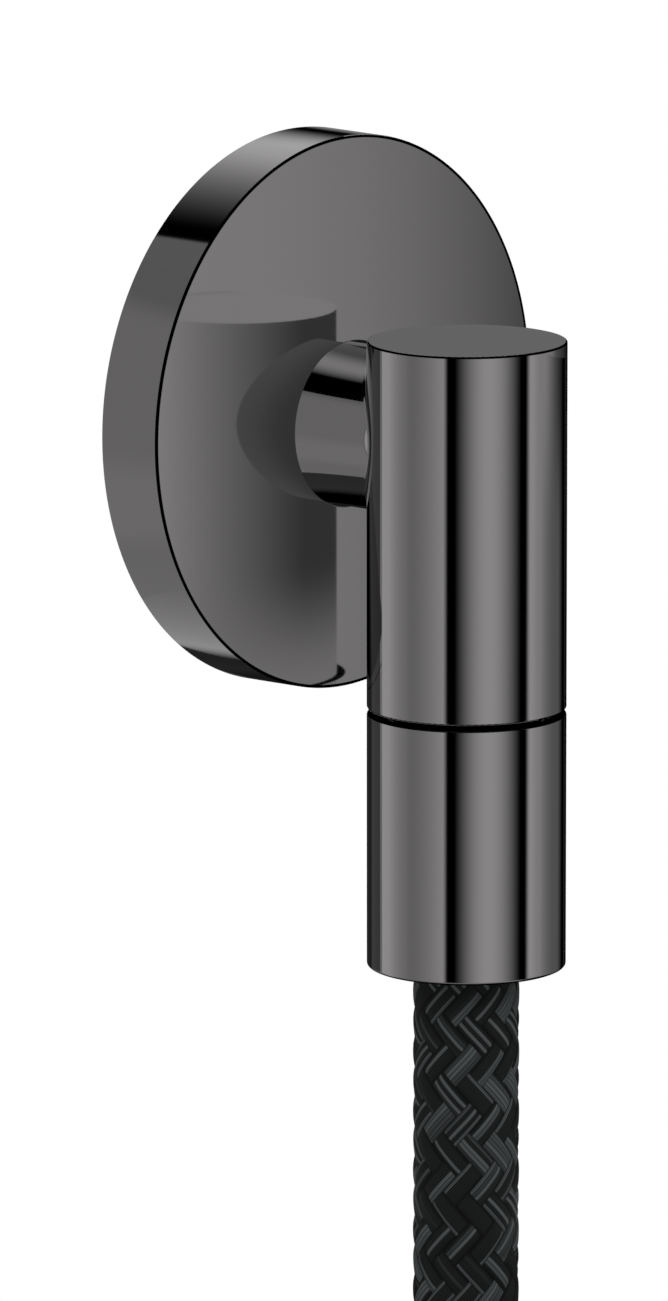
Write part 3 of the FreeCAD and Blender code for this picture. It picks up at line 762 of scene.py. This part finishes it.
def make_tie(material):
    """Strap round the hank's waist.

    The loop follows the support line of the hose centres: the centre that lies furthest in a
    direction, plus the reach in that direction. Its overlap is a second layer that thins out."""
    outs = HANK_REAR_OUT + LAYER * np.arange(RUNS)
    sides = COLUMN * np.where(np.arange(RUNS) % 2 == 0, -1, 1)
    centres = np.stack([sides, -outs], -1)
    angle = np.linspace(0, FULL, 160, endpoint=False)
    direction = np.stack([np.cos(angle), np.sin(angle)], -1)
    held = centres[np.argmax(direction @ centres.T, axis=1)]
    swing = np.mod(angle - math.radians(150), FULL)
    layer = np.clip(swing / math.radians(12), 0, 1) * (swing < math.radians(150))
    inner = HOSE_RADIUS + STRAP_CLEARANCE
    outer = inner + STRAP_THICKNESS + STRAP_OVERLAP * layer
    half, edge = STRAP_HALF_WIDTH, STRAP_EDGE
    rows = []
    for reach, rise in ((inner, -half + edge), (inner, half - edge), (inner + edge, half),
                        (outer - edge, half), (outer, half - edge), (outer, -half + edge),
                        (outer - edge, -half), (inner + edge, -half)):
        flat = held + direction * np.broadcast_to(reach, angle.shape)[:, None]
        rows.append(np.concatenate([flat, np.full((len(angle), 1), WAIST_MIDDLE + rise)], 1))
    points = np.array(rows)
    faces = turned_out(points.reshape(-1, 3), grid_faces(len(rows), len(angle), True))
    piece = put_mesh("hank_strap", points.reshape(-1, 3), faces.tolist(), material)
    piece.data.set_sharp_from_angle(angle=math.radians(50))
    return piece


def neck_blend(steps=8, around=144):
    """Small hollow blend where the neck meets the barrel: a ball of radius r rolled along both.

    At an angle a round the neck its middle lies n + r from the neck's axis and b + r from the barrel's.
    It touches each straight towards that axis, and the blend is the arc between the two touches. The
    ring is closed by one more row inside the metal."""
    turn = np.arange(around) * FULL / around
    none = np.zeros(around)
    x, z = (NECK_RADIUS + BLEND_RADIUS) * np.cos(turn), (NECK_RADIUS + BLEND_RADIUS) * np.sin(turn)
    away = np.sqrt((BARREL_RADIUS + BLEND_RADIUS) ** 2 - x ** 2)
    middle = np.stack([x, away - BARREL_OUT, z], -1)
    to_neck = np.stack([-np.cos(turn), none, -np.sin(turn)], -1)
    to_barrel = np.stack([-x, -away, none], -1) / (BARREL_RADIUS + BLEND_RADIUS)
    swing = np.arccos((to_neck * to_barrel).sum(1))[:, None]
    rows = [(to_neck * np.sin((1 - share) * swing) + to_barrel * np.sin(share * swing)) / np.sin(swing)
            for share in np.linspace(0, 1, steps + 1)]
    inward = (to_neck + to_barrel) / (2 * np.cos(swing / 2))
    points = [middle + BLEND_RADIUS * row for row in rows]
    points.append(middle + inward * (BLEND_RADIUS / np.cos(swing / 2) + 0.3 * MM))
    points = np.array(points).reshape(-1, 3)
    normals = -np.array(rows + [inward]).reshape(-1, 3)
    return points, turned_out(points, grid_faces(steps + 2, around, True)), normals


def make_elbow(material):
    """Elbow of one piece: the solid's own surface, joined up, with the true normals of its two tubes, and
    the blend between them.

    A corner on a tube's surface, whose face looks away from the axis, gets the direction from the axis."""
    source = frame["nodes"]["elbow_body"].data
    count = len(source.vertices)
    points = np.empty(count * 3)
    source.vertices.foreach_get("co", points)
    points = points.reshape(-1, 3)
    corners = np.empty(len(source.loops), int)
    source.loops.foreach_get("vertex_index", corners)
    given = np.array([corner.vector for corner in source.corner_normals])
    flat = np.empty(len(source.polygons) * 3)
    source.polygons.foreach_get("normal", flat)
    flat = np.repeat(flat.reshape(-1, 3), 3, axis=0)
    at = points[corners]
    level = np.abs(flat[:, 2]) > 0.9999
    given[level] = flat[level]
    for centre, keep, radius in (((0, -BARREL_OUT, 0), (1, 1, 0), BARREL_RADIUS),
                                 ((0, 0, 0), (1, 0, 1), NECK_RADIUS)):
        spoke = (at - centre) * keep
        length = np.linalg.norm(spoke, axis=1)
        spoke /= length[:, None]
        on = (np.abs(length - radius) < 0.004 * MM) & ((spoke * flat).sum(1) > 0.98)
        given[on] = spoke[on]
    joined, index = np.unique(np.round(points / (1e-4 * MM)).astype(int), axis=0, return_inverse=True)
    merged = np.zeros((len(joined), 3))
    merged[index.ravel()] = points
    triangles = index.ravel()[corners].reshape(-1, 3)
    whole = (triangles != np.roll(triangles, 1, axis=1)).all(axis=1)
    blend, blend_faces, blend_normals = neck_blend()
    faces = triangles[whole].tolist() + (blend_faces + len(merged)).tolist()
    piece = put_mesh("elbow", np.concatenate([merged, blend]), faces, material)
    given = given.reshape(-1, 3, 3)[whole].reshape(-1, 3)
    given = np.concatenate([given, blend_normals[blend_faces.ravel()]])
    piece.data.normals_split_custom_set(given.tolist())
    return piece


# Stage: a white room seen by the camera, and cards that only the gloss sees

def reflection_card(name, points, level, around=False, toward=None):
    """Grid of points that shines by the level given at each and that only mirrored rays meet.

    Where a direction is given, the card shines on that side alone and is clear from behind."""
    rows, columns = points.shape[:2]
    faces = grid_faces(rows, columns, False, around)
    if toward is not None:
        first = points.reshape(-1, 3)[faces[0]]
        normal = np.cross(first[1] - first[0], first[2] - first[0])
        faces = faces if normal @ toward > 0 else faces[:, ::-1]
    material, tree = new_material("reflection_" + name)
    card = put_mesh("reflection_" + name, points.reshape(-1, 3), faces.tolist(), material)
    card.data.shade_flat()
    attribute = card.data.attributes.new("level", "FLOAT", "POINT")
    attribute.data.foreach_set("value", np.broadcast_to(level, (rows, columns)).astype(np.float32).ravel())
    value = tree.add("Attribute", {"attribute_name": "level"}).part("Fac")
    shine = tree.add("Emission", None, Color=tree.mix_colour(value, grey(0), grey(1)), Strength=1.0)
    if toward is not None:
        behind = tree.add("NewGeometry").part("Backfacing")
        shine = tree.add("MixShader", None, behind, shine, tree.add("BsdfTransparent"))
    tree.surface(shine)
    for kind in ("camera", "diffuse", "shadow", "transmission", "volume_scatter"):
        setattr(card, "visible_" + kind, False)


def step(value, low, high):
    """Smooth step from 0 at low to 1 at high."""
    share = np.clip((value - low) / (high - low), 0, 1)
    return share * share * (3 - 2 * share)


def band(value, low, high, soft=1.0):
    """1 between low and high, with soft ends."""
    return step(value, low - soft / 2, low + soft / 2) * (1 - step(value, high - soft / 2, high + soft / 2))


def wall_level(azimuth, height):
    """Level of the wall of cards at an azimuth round the barrel, in degrees from the front, and a height.

    Left card: 0.47 + 0.53 (|a + 110.5| / 42)^1.5, and behind it 0.5 to 0.58 by height, 0.36 at the top.
    Front card: (1 - ((a + 24.5) / 37.5)^2)^1.65. Right card: the greater of (1 - (a - 28) / 90)^2.3 and
    0.78 (1 - ((a - 40) / 34)^2.5). Rear card: 0.23, and white above it from 50 to 84 mm. Between them
    stand black flags; below the neck the rear has a faint light of 0.012 to 0.13."""
    left = 0.47 + 0.53 * np.clip(np.abs(azimuth + 110.5) / 42, 0, 1) ** 1.5
    rear_left = 0.50 + 0.08 * band(height, -62 * MM, -20 * MM, 22 * MM)
    rear_left = rear_left - 0.14 * step(height, 48 * MM, 66 * MM)
    left = left + (rear_left - left) * (1 - step(azimuth, -127, -123))
    left = left * step(azimuth, -163, -161) * (1 - step(azimuth, -75, -69))
    gap = (0.012 * step(azimuth, 110, 120) + 0.018 * step(azimuth, 150, 156)
           + 0.10 * step(azimuth, 172, 178) + 0.13 * (1 - step(azimuth, -163, -161)))
    gap = gap * (1 - step(height, 0, 14 * MM))
    front = np.clip(1 - ((azimuth + 24.5) / 37.5) ** 2, 0, 1) ** 1.65
    right = np.maximum(np.clip(1 - np.clip(azimuth - 28, 0, 90) / 90, 0, 1) ** 2.3,
                       0.78 * (1 - np.clip((azimuth - 40) / 34, 0, 1) ** 2.5)) * step(azimuth, 19, 26)
    rear = 0.23 * band(azimuth, 100, 156, 2.0) * band(height, 15 * MM, 41 * MM, 10 * MM)
    rear_top = step(azimuth, 132, 142) * step(height, 50 * MM, 84 * MM)
    return np.maximum(np.maximum(left, gap) + front, np.maximum(np.maximum(right, rear), rear_top))


def ceiling_level(x):
    """Level of the ceiling card: 1 on the right, black from 34 to 40.5 mm left of the barrel, then 0.37."""
    return step(x, -34 * MM, 36 * MM) + 0.37 * step(x, -40.5 * MM, -41.5 * MM)


def floor_level(x):
    """Level of the floor card: 0.62, rising to the right and ending 30 mm right of the barrel."""
    return (0.62 + 3.5 * (x + 18 * MM)) * (1 - step(x, 12 * MM, 34 * MM))


def make_tent():
    """Round tent of cards about the barrel's axis: a wall, a ceiling and a floor."""
    azimuth = np.linspace(-180, 180, 720, endpoint=False)
    angle = np.radians(azimuth)
    share = np.linspace(0, 1, 160)
    height = TENT_TOP - (TENT_TOP - TENT_END) * share ** 1.6
    wall = sheet(TENT_RADIUS * np.sin(angle), -BARREL_OUT - TENT_RADIUS * np.cos(angle), height[:, None])
    reflection_card("wall", wall, wall_level(azimuth[None, :], height[:, None]), True)
    radius = np.linspace(0.2 * MM, TENT_RADIUS, 100)
    x = radius[:, None] * np.sin(angle)[None, :]
    y = -BARREL_OUT - radius[:, None] * np.cos(angle)[None, :]
    for name, z, function in (("ceiling", TENT_TOP, ceiling_level),
                              ("floor", TENT_FLOOR, floor_level)):
        reflection_card(name, sheet(x, y, z), function(x), True)


def make_painted_barrel_reflection():
    """Painted reflection of the barrel and nut for the rosette: a glowing copy whose level paints a clean
    fall of light, without the cards' stripes.

    Level = 0.12 + 0.43 (0.68 - s)^1.15, s being the distance across it as the rosette sees it. From 18 to
    36 mm down it goes over into 0.60, the rosette's own tone, and its flat top is 0.75. It stands just
    inside the metal."""
    azimuth = np.linspace(-180, 180, 240, endpoint=False)
    height = np.concatenate([[12.65, 12.65], np.linspace(12.65, -66.5, 120)]) * MM
    angle = np.radians(azimuth)
    radius = np.full((len(height), 1), BARREL_RADIUS - 0.1 * MM)
    radius[0] = 0.05 * MM
    tube = sheet(radius * np.sin(angle), -BARREL_OUT - radius * np.cos(angle), height[:, None])
    # Painted reflection: the barrel's shading as the rosette mirrors it is painted into this level
    across = -np.sin(np.radians(azimuth + 132))
    level = 0.12 + 0.43 * np.maximum(0.68 - across, 0) ** 1.15
    level = level[None, :] + (0.60 - level[None, :]) * step(-height[:, None], 18 * MM, 36 * MM)
    level[:2] = 0.75
    reflection_card("barrel", tube, level, True, UP)


def make_painted_neck_reflection():
    """Painted reflection of the neck for the rosette: a glowing copy of its left half, just inside the neck,
    0.23 falling to 0.13 away from the barrel.

    At the distance x aside of its axis it ends where the blend begins, sqrt((b + r)^2 - x^2) behind the
    barrel's axis, b being the barrel's radius and r the blend's."""
    turn = np.radians(np.linspace(90, 270, 60))[:, None]
    radius = NECK_RADIUS - 0.1 * MM
    side = radius * np.cos(turn)
    end = BARREL_OUT - np.sqrt((BARREL_RADIUS + BLEND_RADIUS) ** 2 - side ** 2)
    out = ROSETTE_DEPTH + (end - ROSETTE_DEPTH) * np.linspace(0, 1, 30)[None, :]
    # Painted reflection: the neck's shading as the rosette mirrors it is painted into this level
    level = 0.23 - 0.10 * step(end - out, 0, 9 * MM)
    reflection_card("neck", sheet(side, -out, radius * np.sin(turn)), level, False, UP)


def make_neck_card():
    """Cards behind the rosette for the neck alone: rings whose level changes with the angle round the neck.

    From the right over the top: 0.19, rising to 0.67 and falling to black; underneath, 0.08 falling to
    black."""
    radius = np.linspace(10.6, 34.5, 8)[:, None] * MM
    above = np.linspace(56, 139.3, 168)[None, :]
    fall = 1 - np.clip((above - 101) / 15.5, 0, 1) ** 1.5
    below = np.linspace(-127, -66, 123)[None, :]
    for name, turn, level in (
            ("neck_top", above, (0.19 + 0.48 * step(above, 74, 98)) * fall),
            ("neck_foot", below, 0.08 * (1 - step(below, -106, -92)))):
        angle = np.radians(turn)
        reflection_card(name, sheet(radius * np.cos(angle), 2 * MM, radius * np.sin(angle)), level)


def make_barrel_cards():
    """Two upright cards close to the barrel that it alone mirrors at its sides, so that its stripes run its
    whole height.

    Left, by the distance u left of the axis: 0.14, then from 14.5 mm 0.5 + 0.56 e^(-(u - 17) / 6).
    Right, by the distance v out of the wall: 0.27 + 0.51 ((v - 43) / 14)^1.6, black at 38.5 mm; near the
    barrel's top it goes over into the wall's own level."""
    left = np.linspace(14.2, 33, 75)[None, :]
    level = 0.14 + (0.36 + 0.56 * np.exp(-np.maximum(left - 17, 0) / 6)) * step(left, 14.2, 14.5)
    height = np.array([-74, 12.6])[:, None]
    reflection_card("barrel_left", sheet(-left, -17, height) * MM, level, False, OUT)
    out = np.linspace(37, 57.5, 83)[None, :]
    height = np.linspace(-74, 9.3, 60)[:, None]
    level = 0.27 + 0.51 * np.clip((out - 43) / 14, 0, 1) ** 1.6
    level = level + (0.10 + 0.65 * step(out, 41, 54) - level) * step(height, -16, 9)
    level = level * step(out, 38.5, 43)
    reflection_card("barrel_right", sheet(16, -out, height) * MM, level, False, -RIGHT)


def make_painted_edge_lines():
    """Black flags, seen only by mirrored rays, that paint dark lines along four edges and painted shade
    into the joint between barrel and nut: rings a hair off an edge and short tubes round it.

    One pair goes round the rosette's front edge and one round the near half of the barrel's top edge. Two
    rings and a tube line the joint between barrel and nut, and a ring lies under the nut's lower edge.
    Distances along the axis count from the rosette's front or from the barrel's top."""
    turn = np.linspace(0, FULL, 257)[None, :]
    left = np.linspace(math.pi, FULL, 129)[None, :]
    near = np.radians(np.linspace(-140, 45, 150))[None, :]
    rim, barrel, lip = ROSETTE_FRONT_RADIUS, BARREL_RADIUS, 0.12 * MM
    rosette_axis = (OUT, np.array((ROSETTE_CENTRE[0], 0, ROSETTE_CENTRE[1])))
    barrel_axis = (UP, np.array((0, -BARREL_OUT, 0)))
    nut_drop = NUT_BOTTOM - BARREL_TOP - 0.3 * MM
    joint_low = NUT_TOP - BARREL_TOP + 0.05 * MM
    joint_high = BARREL_BOTTOM - BARREL_TOP - 0.1 * MM
    # Painted dark edge lines, and painted shade in the joint between barrel and nut
    for name, angle, radius, away, toward in (
            ("rosette_ring", turn, (rim - 0.40 * MM, rim + 4 * MM), lip, -1),
            ("rosette_tube", left, rim + 0.3 * MM, (0.2 * MM, -0.60 * MM), 0),
            ("barrel_ring", near, (barrel - 0.26 * MM, barrel + 3 * MM), lip, -1),
            ("barrel_tube", near, barrel + 0.2 * MM, (-0.06 * MM, -0.32 * MM), 0),
            ("joint_ring_low", turn, (0.05 * MM, barrel + 1.0 * MM), joint_low, 1),
            ("joint_tube", turn, 11 * MM, (joint_low - 1 * MM, joint_high), 0),
            ("joint_ring_high", turn, (0.05 * MM, barrel + 1.2 * MM), joint_high, -1),
            ("nut_ring", turn, (8 * MM, barrel + 0.4 * MM), nut_drop, 1)):
        radius, away = (np.broadcast_to(ends, 2)[:, None] for ends in (radius, away))
        side, front = radius * np.sin(angle), radius * np.cos(angle)
        if name.startswith("rosette"):
            axis, middle = rosette_axis
            ring = sheet(middle[0] + side, -ROSETTE_DEPTH - away, middle[2] + front)
        else:
            axis, middle = barrel_axis
            ring = sheet(side, middle[1] - front, BARREL_TOP + away)
        inward = (middle - ring[0, 0]) * (1 - np.abs(axis))
        reflection_card(name, ring, 0.0, False, axis * toward if toward else inward)


def make_room():
    """White to the camera and to mirrored rays; plain soft light for the rest, and a pale floor that keeps
    the shadow, fades out and is clear from below."""
    scene = bpy.context.scene
    scene.view_settings.view_transform = "Standard"
    world = bpy.data.worlds.new("room")
    scene.world = world
    tree = Tree(world)
    path = tree.add("LightPath")
    seen = path.part("Is Camera Ray") + path.part("Is Glossy Ray") + path.part("Is Transmission Ray")
    level = seen.math("MINIMUM", 1.0).choose(0.62, 1.0)
    tree.add("OutputWorld", None, Surface=tree.add("Background", None, Color=grey(1), Strength=level))
    for name, place, turn, size, power in (
            ("key", (-0.7, -1.1, 1.0), (math.radians(50), 0, math.radians(-32)), 0.6, 9.0),
            ("fill", (1.1, -0.9, 0.5), (math.radians(68), 0, math.radians(50)), 0.8, 5.0)):
        data = bpy.data.lights.new(name, "AREA")
        data.size = size
        data.energy = power
        lamp = put_object(name, data)
        lamp.location = place
        lamp.rotation_euler = turn
        lamp.visible_glossy = False
    columns, rows = 96, 24
    angle = np.linspace(0, FULL, columns + 1)
    radius = np.linspace(0.00001, FLOOR_RADIUS, rows)[:, None]
    floor = sheet(radius * np.cos(angle), radius * np.sin(angle) - BARREL_OUT, FLOOR)
    material, tree = new_material("floor")
    split = tree.add("SeparateXYZ", None, tree.place())
    x, y = split.part("X"), split.part("Y") + BARREL_OUT
    away = (x * x + y * y).math("SQRT")
    seen_from_above = 1 - tree.add("NewGeometry").part("Backfacing")
    solid = (1 - away.between(*FLOOR_FADE)) * seen_from_above
    tree.principled(Base_Color=grey(0.85), Roughness=0.8, Alpha=solid)
    ground = put_mesh("floor", floor.reshape(-1, 3), grid_faces(rows, columns + 1, False).tolist(), material)
    ground.visible_glossy = False


# Everything in its place
make_camera()
make_room()
make_tent()
make_painted_barrel_reflection()
make_painted_neck_reflection()
make_neck_card()
make_barrel_cards()
make_painted_edge_lines()
chrome = black_chrome()
braid_material = braid()
brass_material = brass()
finishes = {material.name: material for material in (
    brass_material, steel("plain_steel", 0.6, 0.25), steel("spring_steel", 0.52, 0.3),
    rubber("black_rubber", 0.018, 0.45, 0.15 * MM), rubber("washer_rubber", 0.045, 0.6, 0.25 * MM),
    rubber("foam_seal", 0.075, 0.85, 0.4 * MM), plastic())}
for part in frame["record"]["subparts"]:
    if part["material_slot"] in finishes:
        node = frame["nodes"][part["node"]]
        node.data.materials.clear()
        node.data.materials.append(finishes[part["material_slot"]])

rosette = make_rosette(chrome)
elbow = make_elbow(chrome)
hose_nut = make_hose_nut(chrome)
end_nut = make_end_nut(chrome)
nipple = make_wall_nipple(brass_material)
# The parts are hidden from mirrored rays; in the rosette the barrel and neck show only as painted reflections
for mirrored in [rosette, elbow, hose_nut, nipple, *frame["nodes"].values()]:
    mirrored.visible_glossy = False
tie = make_tie(strap())
hose, hose_path = make_hose(braid_material)

for piece, body, slot, nodes in (
        (rosette, "flange", "black_chrome", ["wall_flange"]),
        (elbow, "elbow", "black_chrome", ["elbow_body"]),
        (hose_nut, "elbow", "black_chrome", ["hose_nut"]),
        (end_nut, "end_nut", "black_chrome", ["end_nut"]),
        (nipple, "elbow", "bare_brass", ["wall_nipple"]),
        (tie, "elbow", "tie_strap", ["hank_tie"]),
        (hose, "elbow", "braided_hose", ["hose_tube", "hose_hank", "hose_end_tube"])):
    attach(piece, body)
    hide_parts(*nodes)
